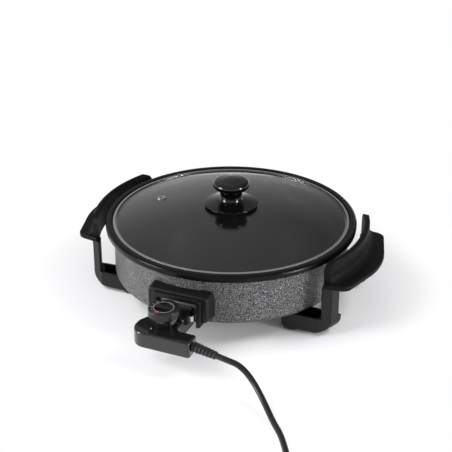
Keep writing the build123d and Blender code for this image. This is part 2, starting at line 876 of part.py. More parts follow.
def make_control_blank():
    """Outside of the whole control with its raised nose and the stepped collar under the dial."""
    points, radii = control_outline(0)
    blank = plate_of(points, radii, control_bottom, control_top)
    blank = fillet(blank.faces().sort_by(Axis.Z)[-1].edges(), top_edge)
    blank = fillet(blank.faces().sort_by(Axis.Z)[0].edges(), base_edge)
    half = nose_half_width
    nose = block(-half, half, -nose_tip - nose_length, -nose_tip, split_height, nose_top)
    ridge = nose.edges().filter_by(Axis.Y).group_by(Axis.Z)[-1]
    nose = fillet(ridge, nose_round)
    nose = fillet(nose.faces().sort_by(Axis.Y)[0].edges().sort_by(Axis.Z)[-1], nose_front_round)
    blank += nose
    blank += rod(dial_x, dial_y, control_top - top_edge, control_top, collar_radii[0])
    for step, radius in enumerate(collar_radii):
        ring_bottom = control_top + collar_step * step
        ring = rod(dial_x, dial_y, ring_bottom, ring_bottom + collar_step, radius)
        blank += fillet(ring.edges().filter_by(GeomType.CIRCLE), collar_round)
    return blank


def make_control_shells():
    """Upper and lower shells, parted at the height of the pins."""
    blank = make_control_blank()
    points, radii = control_outline(control_wall)
    hollow = plate_of(points, radii, control_bottom + control_wall, control_top - control_wall)
    shell = blank - hollow
    shell -= rod(dial_x, dial_y, control_bottom + control_wall, collar_top, spindle_radius + spindle_gap)
    post_bottom = control_bottom + control_wall / 2
    post_top = control_top - control_wall / 2
    for x, y in control_screw_points:
        shell += rod(x, y, post_bottom, post_top, control_post_radius)
    for side in (-1, 1):
        x = side * lead_spacing / 2
        shell -= front_rod(x, lead_height, nose_tip, sleeve_start, pin_radius + sleeve_hole_gap)
    shell -= front_rod(0, lead_height, nose_tip, sleeve_start, probe_radius + screw_hole_gap)
    relief_hole = relief_root_radius - relief_groove + relief_fit
    shell -= relief_plane() * Cylinder(relief_hole, 4 * relief_root)
    side = 2 * control_right
    ahead = control_front + control_right
    top = shell & block(-side, side, -ahead, 0, split_height, 2 * control_top)
    base = shell & block(-side, side, -ahead, 0, 0, split_height)
    for x, y in control_screw_points:
        seat = control_bottom + control_screw_seat
        grip_top_height = split_height + control_screw_grip
        base -= rod(x, y, control_bottom, seat, control_screw_head_radius + control_head_gap)
        base -= rod(x, y, seat, split_height, control_screw_radius + screw_pass_gap)
        top -= rod(x, y, split_height, grip_top_height, control_screw_radius + screw_hole_gap)
    return top, base


def make_control_screws():
    seat = control_bottom + control_screw_seat
    length = split_height + control_screw_grip - screw_end_gap - seat
    one = screw(control_screw_head_radius, control_screw_radius, length)
    return Compound([Pos(x, y, seat) * one for x, y in control_screw_points])


def make_contacts():
    """Sleeves that take the pan's pins, and bowed earth springs outside the nose."""
    sleeves = []
    springs = []
    for side in (-1, 1):
        x = side * lead_spacing / 2
        end = sleeve_start + sleeve_length
        tube = front_rod(x, lead_height, sleeve_start, end, sleeve_radius)
        sleeves.append(tube - front_rod(x, lead_height, sleeve_start, end - control_wall, sleeve_bore))
        start = nose_tip + spring_start
        foot = side * nose_half_width
        crest = side * (nose_half_width + spring_bow)
        outer = ThreePointArc(
            (foot, -start),
            (crest, -start - spring_length / 2),
            (foot, -start - spring_length),
        )
        inner_crest = side * (nose_half_width + spring_bow - spring_sheet)
        inset = spring_sheet * 1.4
        inner = ThreePointArc(
            (foot, -start - inset),
            (inner_crest, -start - spring_length / 2),
            (foot, -start - spring_length + inset),
        )
        joins = (Line(outer @ 0, inner @ 0), Line(outer @ 1, inner @ 1))
        strip = make_face(Curve() + (outer, inner, *joins))
        springs.append(Pos(0, 0, lead_height - spring_width / 2) * extrude(strip, spring_width))
    return Compound(sleeves), Compound(springs)


def make_thermostat():
    """Probe with its bracket, the bimetal blade it bends and the ceramic posts that carry it."""
    bracket_front = -dial_y + thermostat_length / 2
    bracket_back = -dial_y - thermostat_length / 2
    half = thermostat_width / 2
    low = control_bottom + control_wall
    bracket = block(-half, half, -bracket_front, -bracket_back, low, low + thermostat_sheet)
    wall_top = control_top - control_wall - bracket_top_gap
    bracket += block(-half, half, -bracket_back - thermostat_sheet, -bracket_back, low, wall_top)
    probe_hole = probe_radius + seat_gap
    bracket -= front_rod(0, lead_height, bracket_back, bracket_back + thermostat_sheet, probe_hole)
    probe_start = socket_back - probe_depth + probe_end_gap
    probe_stop = bracket_back + 2 * thermostat_sheet
    probe = front_rod(0, lead_height, probe_start, probe_stop, probe_radius)
    tip = probe.faces().sort_by(Axis.Y)[-1].edges()
    probe = fillet(tip, probe_radius * 0.6)
    seat = low + thermostat_sheet
    post_top = lead_height - probe_radius - blade_sheet
    posts = []
    for step in (-1, 1):
        y = dial_y + step * post_spacing / 2
        posts.append(rod(0, y, seat, post_top, post_radius))
    y_low = dial_y - post_spacing / 2 - post_radius
    y_high = dial_y + post_spacing / 2 + post_radius
    blade = block(-blade_width / 2, blade_width / 2, y_low, y_high, post_top, post_top + blade_sheet)
    return bracket, probe, Compound(posts), blade


def make_dial():
    """Round dial with a sunk cup, a finger bar across it and shallow flutes round its edge."""
    top_radius = dial_radius - dial_draft
    dial = spin(
        [
            (0, dial_bottom),
            (dial_radius, dial_bottom),
            (top_radius, dial_top),
            (dial_cup_radius, dial_top),
            (dial_cup_radius - dial_cup_draft, dial_top - dial_cup),
            (0, dial_top - dial_cup),
        ],
        [0, dial_edge, dial_edge, dial_cup_round, dial_cup_round, 0],
    )
    reach = dial_cup_radius - dial_bar_gap
    half = dial_bar_width / 2
    bar = block(-reach, reach, -half, half, dial_top - dial_cup, dial_top + dial_bar_rise)
    bar &= rod(0, 0, dial_bottom, dial_top + dial_bar_rise, reach)
    bar = fillet(bar.faces().sort_by(Axis.Z)[-1].edges(), dial_bar_edge)
    dial += bar
    notch_radius = dial_radius + dial_flute_radius / 2
    notch_top = dial_top - dial_flute_stop
    notch = rod(notch_radius, 0, dial_bottom + dial_edge, notch_top, dial_flute_radius)
    for step in range(dial_flutes):
        dial -= Rot(0, 0, 360 / dial_flutes * (step + 0.5)) * notch
    dial -= rod(0, 0, dial_bottom, dial_bottom + spindle_grip, spindle_radius + spindle_grip_gap)
    return Pos(dial_x, dial_y, 0) * dial


def make_spindle():
    bottom = control_top - control_wall - spindle_hang
    spindle = rod(dial_x, dial_y, bottom, dial_bottom + spindle_grip, spindle_radius)
    return fillet(spindle.edges().sort_by(Axis.Z)[0], spindle_edge)


def relief_plane():
    """Plane at the housing wall with its normal along the strain relief."""
    axis = Vector(*relief_end) - Vector(*relief_start)
    return Plane(relief_start, z_dir=axis)


def make_relief():
    """Tapered strain relief with ring-shaped ribs and grooves between them."""
    length = (Vector(*relief_end) - Vector(*relief_start)).length
    root = relief_root_radius - relief_groove
    points = [(0, -relief_root), (root, -relief_root)]
    pitch = length / relief_ribs
    for rib in range(relief_ribs):
        share = rib / (relief_ribs - 1)
        crest = relief_root_radius + (relief_tip_radius - relief_root_radius) * share
        start = rib * pitch
        valley = crest - relief_groove
        points += [(valley, start + pitch * rib_rise[0]), (crest, start + pitch * rib_rise[1])]
        points += [(crest, start + pitch * rib_fall[0]), (valley, start + pitch * rib_fall[1])]
    points += [(relief_tip_radius - relief_groove, length), (0, length)]
    outline = make_face(Polyline(*points, close=True))
    return relief_plane() * revolve(Plane.XZ * outline, Axis.Z)


def coil_frame():
    """Level frame of the coil: y along the cord's heading at its entry, which is on the -x side."""
    along = Vector(*coil_heading, 0)
    return Plane((*coil_centre, 0), x_dir=along.cross(Vector(0, 0, 1)), z_dir=(0, 0, 1))


def coil_stations():
    """Ends of the half turns: in along the lower layer, up at the reversal, out along the upper one."""
    half = coil_pitch / 2
    low = coil_cord
    high = coil_cord + coil_layer
    inner = coil_outer_radius - coil_half_turns * half
    stations = []
    for step in range(coil_half_turns + 1):
        stations.append(((-1) ** (step + 1) * (coil_outer_radius - step * half), low))
    for step in range(coil_half_turns):
        stations.append(((-1) ** (step + coil_half_turns) * (inner + step * half), high))
    last_x, last_z = stations[-1]
    stations[-1] = (last_x, plug_radius + plug_rest_gap)
    return stations


def coil_path():
    """One unbroken line: half turns that alternate sides, then a straight tail into the plug."""
    stations = coil_stations()
    edges = []
    side = 1
    for start, end in zip(stations, stations[1:]):
        centre = ((start[0] + end[0]) / 2, (start[1] + end[1]) / 2)
        radius = hypot(end[0] - start[0], end[1] - start[1]) / 2
        middle = (centre[0], side * radius, centre[1])
        edges.append(ThreePointArc((start[0], 0, start[1]), middle, (end[0], 0, end[1])))
        side = -side
    tail_x, tail_z = stations[-1]
    lead_x, lead_z = stations[0]
    tail = Line((tail_x, 0, tail_z), (tail_x, plug_tail, tail_z))
    lead = Line((lead_x, -cord, lead_z), (lead_x, 0, lead_z))
    return Wire([lead.edge()] + [edge.edge() for edge in edges] + [tail.edge()])


def make_coil():
    path = coil_frame() * coil_path()
    section = Plane(path @ 0, z_dir=path % 0) * Circle(cord / 2)
    coil = sweep(section, path)
    samples = int(ceil(path.length / coil_sample))
    points = [path @ (step / samples) for step in range(samples + 1)]
    apart = int(ceil(cord * pi / coil_sample))
    least = min(
        (points[a] - points[b]).length
        for a in range(len(points))
        for b in range(a + apart, len(points))
    )
    print("coil length", round(path.length, 1), "least gap to itself", round(least - cord, 2))
    return coil, path.length


def make_tie():
    """Strap round the turns on the far side of the coil."""
    stations = coil_stations()
    inner = coil_outer_radius - coil_half_turns * coil_pitch / 2 - cord / 2
    outer = coil_outer_radius - coil_pitch / 2 + cord / 2
    low = cord_lift - tie_gap
    high = stations[coil_half_turns + 1][1] + cord / 2 + tie_gap
    face = Plane((0, tie_width / 2, 0), x_dir=(1, 0, 0), z_dir=(0, -1, 0))
    middle = ((inner + outer) / 2, (low + high) / 2)
    size = (outer - inner + 2 * tie_gap, high - low)
    hole = Pos(*middle) * RectangleRounded(*size, cord / 2)
    outside = (size[0] + 2 * tie_sheet, size[1] + 2 * tie_sheet)
    strap = Pos(*middle) * RectangleRounded(*outside, cord / 2 + tie_sheet)
    return coil_frame() * extrude(face * (strap - hole), tie_width)


def make_cord_run():
    entry_x = coil_stations()[0][0]
    last_points = [(entry_x, -cord - coil_lead_in, coil_cord), (entry_x, -cord, coil_cord)]
    points = [Vector(*p) for p in cord_route]
    points += [coil_frame().from_local_coords(Vector(*p)) for p in last_points]
    radii = []
    for a, b, c in zip(points, points[1:], points[2:]):
        turn = radians((b - a).get_angle(c - b))
        shorter = min((b - a).length, (c - b).length)
        radii.append(cord_bend_share * shorter / tan(turn / 2))
    path = FilletPolyline(*points, radius=radii)
    section = Plane(path @ 0, z_dir=path % 0) * Circle(cord / 2)
    run = sweep(section, path.wire())
    print("cord run radii", [round(r, 1) for r in radii], "length", round(path.length, 1))
    print("cord run volume share", round(run.volume / (pi * cord**2 / 4 * path.length), 4))
    return run, path.length


def make_plug():
    """Round earthed plug lying on the table beside the coil, with its two pins."""
    tail_x, tail_z = coil_stations()[-1]
    seat = coil_frame() * Plane((tail_x, plug_tail, tail_z), x_dir=(1, 0, 0), z_dir=(0, 1, 0))
    shoulder = plug_boot + plug_taper
    face = shoulder + plug_body
    body = spin(
        [
            (0, 0),
            (plug_boot_radius - plug_boot_draft, 0),
            (plug_boot_radius, plug_boot),
            (plug_shoulder_radius, shoulder - plug_shoulder_length),
            (plug_radius, shoulder),
            (plug_radius, face),
            (0, face),
        ],
        [0, plug_end_round, plug_soft_round, plug_soft_round, plug_shoulder_round, plug_face_round, 0],
    )
    pins = []
    for side in (-1, 1):
        pin = rod(side * plug_pin_spacing / 2, 0, face, face + plug_pin_length, plug_pin_radius)
        pins.append(fillet(pin.edges().sort_by(Axis.Z)[-1], plug_pin_radius * 0.6))
    return seat * body, seat * Compound(pins)


def main():
    os.makedirs("parts", exist_ok=True)
    nodes = {"pan_body": make_pan(), "heating_element": element_sweep(element_tube)}
    nodes["terminal_pins"], nodes["terminal_beads"] = make_terminals()
    nodes["socket_plate"] = make_socket_plate()
    nodes["socket_shroud"] = make_shroud()
    nodes["shroud_screws"] = make_shroud_screws()
    leg = make_leg()
    for shape, (sx, sy, name) in zip(four_corners(leg), leg_places):
        nodes[name] = shape
    nodes["leg_screws"], nodes["grip_screws"] = make_leg_screws()
    nodes["foot_pads"] = make_feet()
    grip = make_grip()
    nodes["right_grip"] = grip
    nodes["left_grip"] = mirror(grip, about=Plane.YZ)
    nodes["lid_glass"] = make_lid_glass()
    nodes["lid_band"] = make_lid_band()
    nodes["vent_eyelet"] = make_vent()
    nodes["knob_skirt"] = make_knob_skirt()
    nodes["lid_knob"] = make_knob()
    nodes["knob_seal"], nodes["knob_washer"], nodes["knob_screw"] = make_knob_fastening()
    nodes["control_top"], nodes["control_base"] = make_control_shells()
    nodes["control_screws"] = make_control_screws()
    nodes["contact_sleeves"], nodes["earth_springs"] = make_contacts()
    bracket, probe, posts, blade = make_thermostat()
    nodes["thermostat_bracket"] = bracket
    nodes["heat_probe"] = probe
    nodes["ceramic_posts"] = posts
    nodes["bimetal_blade"] = blade
    nodes["heat_dial"] = make_dial()
    nodes["dial_spindle"] = make_spindle()
    nodes["strain_relief"] = make_relief()
    nodes["cord_run"], run_length = make_cord_run()
    nodes["cord_coil"], coil_length = make_coil()
    nodes["cord_tie"] = make_tie()
    nodes["mains_plug"], nodes["plug_pins"] = make_plug()
    print("cord length", round(run_length + coil_length, 1))
    for name, shape in nodes.items():
        export_step(shape, f"parts/{name}.step")


main()
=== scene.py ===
"""Electric paella pan: hammertone pan, glass lid, moulded grips and legs, plug-in heat control."""

from math import cos, hypot, pi, radians, sin

import bpy
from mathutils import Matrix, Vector


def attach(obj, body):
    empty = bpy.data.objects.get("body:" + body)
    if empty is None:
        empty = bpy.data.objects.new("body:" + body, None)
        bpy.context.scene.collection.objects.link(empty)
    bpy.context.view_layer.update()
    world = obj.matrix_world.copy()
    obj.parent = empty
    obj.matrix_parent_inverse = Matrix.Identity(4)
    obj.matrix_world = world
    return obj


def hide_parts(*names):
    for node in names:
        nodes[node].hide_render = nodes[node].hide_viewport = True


MM = 0.001

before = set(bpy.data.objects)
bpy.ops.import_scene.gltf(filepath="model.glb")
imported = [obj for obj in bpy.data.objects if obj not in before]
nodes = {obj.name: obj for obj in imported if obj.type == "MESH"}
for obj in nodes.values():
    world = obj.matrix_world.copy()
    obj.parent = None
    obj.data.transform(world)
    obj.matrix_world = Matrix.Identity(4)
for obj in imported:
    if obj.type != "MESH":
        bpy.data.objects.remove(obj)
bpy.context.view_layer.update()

# Camera of the photograph: a square frame, a long lens and the pan's axis near its middle
VIEW_AZIMUTH = 23.3
VIEW_ELEVATION = 26.67
VIEW_DISTANCE = 1.432
VIEW_TARGET = (-0.0042, -0.0071, 0.0879)
IMAGE_SIDE = 452
FOCAL_PIXELS = 1100
SENSOR_WIDTH = 36.0

# Studio: a white floor, pale walls that are lighter near the floor, two large soft boxes and two low strips
FLOOR_SIDE = 30.0
FLOOR_DROP = 0.1 * MM
FLOOR_COLOUR = "#e8e8e9"
FLOOR_NEAR = 0.18
FLOOR_FAR = 0.36
SKY_STOPS = ((0.0, "#d6d6d8"), (0.2, "#c0c1c3"), (0.5, "#a8a9ab"))
WORLD_STRENGTH = 1.0
CURTAIN_AZIMUTH = 118
CURTAIN_REACH = (0.15, 0.92)
CURTAIN_SHADE = 0.3
BOX_ELEVATION = 46
BOX_DISTANCE = 1.6
LEFT_AZIMUTH = -76
LEFT_SIZE = (1.4, 0.62)
LEFT_WATTS = 21
RIGHT_AZIMUTH = 82
RIGHT_SIZE = (0.8, 0.5)
RIGHT_WATTS = 14
STRIP_ELEVATION = 7
STRIP_DISTANCE = 1.4
STRIP_HEIGHT = 0.8
LEFT_STRIP_AZIMUTH = -70
LEFT_STRIP_WIDTH = 0.5
LEFT_STRIP_WATTS = 17
RIGHT_STRIP_AZIMUTH = 60
RIGHT_STRIP_WIDTH = 0.3
RIGHT_STRIP_WATTS = 16

# Where the pan's finishes end, in metres
WALL_RADIUS = 152.5 * MM
BOWL_RADIUS = 149.9 * MM
RIM_UNDER = 91.0 * MM
FLOOR_UNDER = 47.0 * MM
SKIRT_BOTTOM = 28.7 * MM
SKIRT_ROUND = 6.0 * MM
WALL_SKIN = 1.3 * MM
RIM_LAP = 0.2 * MM
BOWL_LAP = 0.1 * MM
FLOOR_SKIN = 1.0 * MM
BARE_GAP = 0.1 * MM

# How the pan's finishes shine: roughness, specular level and the share of metal in the enamel
WALL_ROUGHNESS = (0.32, 0.44)
RIM_ROUGHNESS = 0.2
BOWL_ROUGHNESS = 0.42
BLACK_SPECULAR = 0.15
WALL_SPECULAR = 0.5
FLAKE_SHARE = 0.85

# Hammertone, in millimetres
ISLAND_SIZE = 2.0
DRIFT_SIZE = 1.9
DRIFT_REACH = 1.4
GRAIN_SIZE = 1.2
ISLAND_RELIEF = 1.2

# Plastic, metal and ink: pattern sizes in millimetres, and how far the roughness swings
CLOUD_SIZE = 24.0
MOULD_SWING = 0.15
MOULD_STRENGTH = 0.3
COAT_ROUGHNESS = 0.05
STREAK_STRETCH = 12.0
STREAK_SWING = 0.3
INK_GRAIN = 0.8
INK_ROUGHNESS = (0.4, 0.55)

# Mains cord: its length and diameter in metres, the rest in millimetres
CORD_THICKNESS = 7.0
CORD_DIAMETER = CORD_THICKNESS * MM
RELIEF_START = (46.0, -220.0, 42.0)
RELIEF_END = (77.5, -224.3, 39.6)
FIRST_RUN = 0.5
TABLE_CORD = CORD_THICKNESS / 2
COIL_LIFT = 1.3
COIL_CORD = TABLE_CORD + COIL_LIFT
CORD_ROUTE = [
    RELIEF_END,
    tuple(end + FIRST_RUN * (end - start) for start, end in zip(RELIEF_START, RELIEF_END)),
    (104.6, -225.4, 35.6),
    (116.4, -227.3, 28.6),
    (127.9, -232.8, 20.4),
    (139.3, -241.8, 13.2),
    (151.6, -254.6, 8.2),
    (164.7, -270.2, 4.9),
    (180.0, -286.5, TABLE_CORD),
    (193.5, -308.5, TABLE_CORD),
    (206.5, -330.5, TABLE_CORD),
]
COIL_CENTRE = (195.0, -404.0)
COIL_HEADING = (0.3955, -0.9185)
COIL_LEAD_IN = 20.0
COIL_OUTER_RADIUS = 46.0
COIL_PITCH = 9.2
COIL_LAYER = 7.9
COIL_HALF_TURNS = 4
COIL_POINTS = 8
PLUG_TAIL = 20.0
PLUG_HEIGHT = 18.2

# Marks on the dial and the pointer beside it, in millimetres and degrees
DIAL_CENTRE = (0.0, -200.0)
DIAL_TOP = 72.0
MARK_LIFT = 0.04
RING_RADII = (11.7, 12.1)
RING_STEPS = 64
NUMBER_RADIUS = 14.6
NUMBER_SIZE = 3.2
NUMBER_COUNT = 5
NUMBER_START = 222
NUMBER_STEP = -25
OFF_SPAN = (246, 268)
OFF_RADII = (12.7, 15.6)
OFF_STEPS = 8
POINTER = (-8.2, -217.7)
POINTER_SIZE = 2.2
SHELL_TOP = 51.0


def linear(hex_colour):
    """Linear RGBA of an sRGB hex colour."""
    channels = [int(hex_colour[i : i + 2], 16) / 255 for i in (1, 3, 5)]
    return [c / 12.92 if c <= 0.04045 else ((c + 0.055) / 1.055) ** 2.4 for c in channels] + [1.0]


def per_mm(size):
    """Texture scale, in cells per metre, for a pattern of that size in millimetres."""
    return 1000.0 / size


def add(tree, kind, sockets=None, **settings):
    """Adds a node, sets its settings and fills its sockets with values or links."""
    node = tree.nodes.new(kind)
    for name, value in settings.items():
        setattr(node, name, value)
    for key, value in (sockets or {}).items():
        if isinstance(value, bpy.types.NodeSocket):
            tree.links.new(value, node.inputs[key])
        else:
            node.inputs[key].default_value = value
    return node


def ramp(node, *stops):
    """Sets a colour ramp's stops from (place, hex colour) pairs."""
    elements = node.color_ramp.elements
    while len(elements) < len(stops):
        elements.new(0.5)
    for element, (place, colour) in zip(elements, stops):
        element.position = place
        element.color = linear(colour)
    return node


def start_material(name):
    """An empty material with its node tree and the object's own coordinates."""
    material = bpy.data.materials.new(name)
    material.use_nodes = True
    material.node_tree.nodes.clear()
    place = add(material.node_tree, "ShaderNodeTexCoord").outputs["Object"]
    return material, material.node_tree, place


def end_material(tree, sockets):
    """Adds the surface shader and the output."""
    surface = add(tree, "ShaderNodeBsdfPrincipled", sockets)
    add(tree, "ShaderNodeOutputMaterial", {"Surface": surface.outputs["BSDF"]})


def paint(material, *names):
    """Gives CAD nodes or pieces one material."""
    for name in names:
        piece = nodes[name] if isinstance(name, str) else name
        piece.data.materials.clear()
        piece.data.materials.append(material)


def pan_finish():
    """Cast aluminium: hammertone enamel outside, black enamel rim, dark non-stick bowl, dull underside.

    Hammertone dries into glossy grey islands about two millimetres wide with dark lines between them."""
    material, tree, place = start_material("cast_aluminium_hammertone")
    parts = add(tree, "ShaderNodeSeparateXYZ", {0: place})
    flat = add(tree, "ShaderNodeCombineXYZ", {0: parts.outputs["X"], 1: parts.outputs["Y"]})
    radius = add(tree, "ShaderNodeVectorMath", {0: flat.outputs[0]}, operation="LENGTH").outputs["Value"]
    height = parts.outputs["Z"]
    edge = add(
        tree,
        "ShaderNodeMapRange",
        {
            "Value": height,
            "From Min": SKIRT_BOTTOM,
            "From Max": SKIRT_BOTTOM + SKIRT_ROUND,
            "To Min": WALL_RADIUS - SKIRT_ROUND,
            "To Max": WALL_RADIUS - WALL_SKIN,
        },
    )
    outside = add(tree, "ShaderNodeMath", {0: radius, 1: edge.outputs[0]}, operation="GREATER_THAN")
    below = add(tree, "ShaderNodeMath", {0: height, 1: RIM_UNDER + RIM_LAP}, operation="LESS_THAN")
    wall = add(tree, "ShaderNodeMath", {0: outside.outputs[0], 1: below.outputs[0]}, operation="MULTIPLY")
    inside = add(tree, "ShaderNodeMath", {0: radius, 1: BOWL_RADIUS + BOWL_LAP}, operation="LESS_THAN")
    above = add(tree, "ShaderNodeMath", {0: height, 1: FLOOR_UNDER + FLOOR_SKIN}, operation="GREATER_THAN")
    bowl = add(tree, "ShaderNodeMath", {0: inside.outputs[0], 1: above.outputs[0]}, operation="MULTIPLY")
    under = add(tree, "ShaderNodeMath", {0: height, 1: RIM_UNDER - BARE_GAP}, operation="LESS_THAN")
    rest = add(tree, "ShaderNodeMath", {0: wall.outputs[0], 1: bowl.outputs[0]}, operation="ADD")
    bare = add(
        tree,
        "ShaderNodeMath",
        {0: under.outputs[0], 1: rest.outputs[0]},
        operation="SUBTRACT",
        use_clamp=True,
    )

    drift = add(tree, "ShaderNodeTexNoise", {"Vector": place, "Scale": per_mm(DRIFT_SIZE), "Detail": 1.0})
    push = add(
        tree,
        "ShaderNodeVectorMath",
        {0: drift.outputs["Color"], 1: (0.5, 0.5, 0.5)},
        operation="SUBTRACT",
    )
    swing = add(
        tree,
        "ShaderNodeVectorMath",
        {0: push.outputs[0], "Scale": DRIFT_REACH * MM},
        operation="SCALE",
    )
    moved = add(tree, "ShaderNodeVectorMath", {0: place, 1: swing.outputs[0]}, operation="ADD")
    cells = add(
        tree,
        "ShaderNodeTexVoronoi",
        {"Vector": moved.outputs[0], "Scale": per_mm(ISLAND_SIZE), "Randomness": 1.0},
        feature="DISTANCE_TO_EDGE",
    )
    islands = ramp(
        add(tree, "ShaderNodeValToRGB", {0: cells.outputs["Distance"]}),
        (0.02, "#353536"),
        (0.16, "#707071"),
        (0.4, "#9a9a9b"),
    )
    grain = add(tree, "ShaderNodeTexNoise", {"Vector": place, "Scale": per_mm(GRAIN_SIZE), "Detail": 2.0})
    with_rim = add(
        tree,
        "ShaderNodeMix",
        {"Factor": wall.outputs[0], 6: linear("#0b0b0c"), 7: islands.outputs["Color"]},
        data_type="RGBA",
    )
    with_bowl = add(
        tree,
        "ShaderNodeMix",
        {"Factor": bowl.outputs[0], 6: with_rim.outputs[2], 7: linear("#0f0f10")},
        data_type="RGBA",
    )
    colour = add(
        tree,
        "ShaderNodeMix",
        {"Factor": bare.outputs[0], 6: with_bowl.outputs[2], 7: linear("#8e8e8d")},
        data_type="RGBA",
    )
    shine = add(
        tree,
        "ShaderNodeMapRange",
        {"Value": grain.outputs[0], "To Min": WALL_ROUGHNESS[0], "To Max": WALL_ROUGHNESS[1]},
    )
    rim_shine = add(
        tree,
        "ShaderNodeMix",
        {"Factor": wall.outputs[0], 2: RIM_ROUGHNESS, 3: shine.outputs[0]},
        data_type="FLOAT",
    )
    bowl_shine = add(
        tree,
        "ShaderNodeMix",
        {"Factor": bowl.outputs[0], 2: rim_shine.outputs[0], 3: BOWL_ROUGHNESS},
        data_type="FLOAT",
    )
    wall_height = add(
        tree,
        "ShaderNodeMath",
        {0: cells.outputs["Distance"], 1: wall.outputs[0]},
        operation="MULTIPLY",
    )
    flake = add(tree, "ShaderNodeMath", {0: wall.outputs[0], 1: FLAKE_SHARE}, operation="MULTIPLY")
    gloss = add(
        tree,
        "ShaderNodeMapRange",
        {"Value": wall.outputs[0], "To Min": BLACK_SPECULAR, "To Max": WALL_SPECULAR},
    )
    relief = add(
        tree,
        "ShaderNodeBump",
        {"Strength": 1.0, "Distance": ISLAND_RELIEF * MM, "Height": wall_height.outputs[0]},
    )
    end_material(
        tree,
        {
            "Base Color": colour.outputs[2],
            "Metallic": flake.outputs[0],
            "Roughness": bowl_shine.outputs[0],
            "Specular IOR Level": gloss.outputs[0],
            "Normal": relief.outputs[0],
        },
    )
    return material


def moulded(name, dark, light, roughness, grit, depth, coat=0.0, specular=0.5):
    """Moulded plastic: a dark body colour with faint clouding and a fine moulded grain.

    The grain of a real mould is near 0.1 mm. It is drawn coarser, at grit millimetres, so that it shows."""
    material, tree, place = start_material(name)
    cloud = add(tree, "ShaderNodeTexNoise", {"Vector": place, "Scale": per_mm(CLOUD_SIZE), "Detail": 3.0})
    colour = ramp(
        add(tree, "ShaderNodeValToRGB", {0: cloud.outputs[0]}),
        (0.3, dark),
        (0.7, light),
    )
    grain = add(tree, "ShaderNodeTexNoise", {"Vector": place, "Scale": per_mm(grit), "Detail": 2.0})
    shine = add(
        tree,
        "ShaderNodeMapRange",
        {
            "Value": grain.outputs[0],
            "To Min": roughness * (1 - MOULD_SWING),
            "To Max": roughness * (1 + MOULD_SWING),
        },
    )
    relief = add(
        tree,
        "ShaderNodeBump",
        {"Strength": MOULD_STRENGTH, "Distance": depth * MM, "Height": grain.outputs[0]},
    )
    end_material(
        tree,
        {
            "Base Color": colour.outputs["Color"],
            "Roughness": shine.outputs[0],
            "Normal": relief.outputs[0],
            "Specular IOR Level": specular,
            "Coat Weight": coat,
            "Coat Roughness": COAT_ROUGHNESS,
        },
    )
    return material


def metal(name, dark, light, roughness, streak):
    """Bare or plated metal with fine streaks from rolling or turning.

    Real streaks are a few hundredths of a millimetre wide. They are drawn coarser so that they show."""
    material, tree, place = start_material(name)
    stretched = add(
        tree,
        "ShaderNodeVectorMath",
        {0: place, 1: (1.0, 1.0, STREAK_STRETCH)},
        operation="MULTIPLY",
    )
    lines = add(
        tree,
        "ShaderNodeTexNoise",
        {"Vector": stretched.outputs[0], "Scale": per_mm(streak), "Detail": 2.0},
    )
    colour = ramp(add(tree, "ShaderNodeValToRGB", {0: lines.outputs[0]}), (0.3, dark), (0.7, light))
    shine = add(
        tree,
        "ShaderNodeMapRange",
        {
            "Value": lines.outputs[0],
            "To Min": roughness * (1 - STREAK_SWING),
            "To Max": roughness * (1 + STREAK_SWING),
        },
    )
    end_material(
        tree,
        {"Base Color": colour.outputs["Color"], "Metallic": 1.0, "Roughness": shine.outputs[0]},
    )
    return material


def clear_glass():
    """Tempered glass: clear with a faint grey cast. Lamps and soft light pass straight through it."""
    material, tree, _ = start_material("tempered_glass")
    pane = add(
        tree,
        "ShaderNodeBsdfPrincipled",
        {
            "Base Color": linear("#f2f2f2"),
            "Roughness": 0.0,
            "IOR": 1.45,
            "Transmission Weight": 1.0,
        },
    )
    path = add(tree, "ShaderNodeLightPath")
    open_way = add(tree, "ShaderNodeBsdfTransparent", {"Color": linear("#e2e2e2")})
    glossy = add(
        tree,
        "ShaderNodeMath",
        {0: path.outputs["Is Glossy Ray"], 1: path.outputs["Is Singular Ray"]},
        operation="SUBTRACT",
        use_clamp=True,
    )
    bounced = add(
        tree,
        "ShaderNodeMath",
        {0: path.outputs["Is Diffuse Ray"], 1: glossy.outputs[0]},
        operation="MAXIMUM",
    )
    through = add(
        tree,
        "ShaderNodeMath",
        {0: path.outputs["Is Shadow Ray"], 1: bounced.outputs[0]},
        operation="MAXIMUM",
    )
    both = add(
        tree,
        "ShaderNodeMixShader",
        {0: through.outputs[0], 1: pane.outputs["BSDF"], 2: open_way.outputs[0]},
    )
    add(tree, "ShaderNodeOutputMaterial", {"Surface": both.outputs[0]})
    return material


def printed(name, colour):
    """Printed ink: one flat even colour with a dull face."""
    material, tree, place = start_material(name)
    spread = add(tree, "ShaderNodeTexNoise", {"Vector": place, "Scale": per_mm(INK_GRAIN), "Detail": 1.0})
    shine = add(
        tree,
        "ShaderNodeMapRange",
        {"Value": spread.outputs[0], "To Min": INK_ROUGHNESS[0], "To Max": INK_ROUGHNESS[1]},
    )
    end_material(tree, {"Base Color": linear(colour), "Roughness": shine.outputs[0]})
    return material


def new_object(name, data, body):
    """Links a piece into the scene and makes it ride on a body."""
    piece = bpy.data.objects.new(name, data)
    bpy.context.scene.collection.objects.link(piece)
    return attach(piece, body)


def coil_point(x, y, z):
    """Point of the coil's own level frame, whose y axis is the cord's heading, in metres."""
    ahead = Vector((*COIL_HEADING, 0.0))
    aside = ahead.cross(Vector((0.0, 0.0, 1.0)))
    base = Vector((*COIL_CENTRE, 0.0))
    return (base + aside * x + ahead * y + Vector((0.0, 0.0, z))) * MM


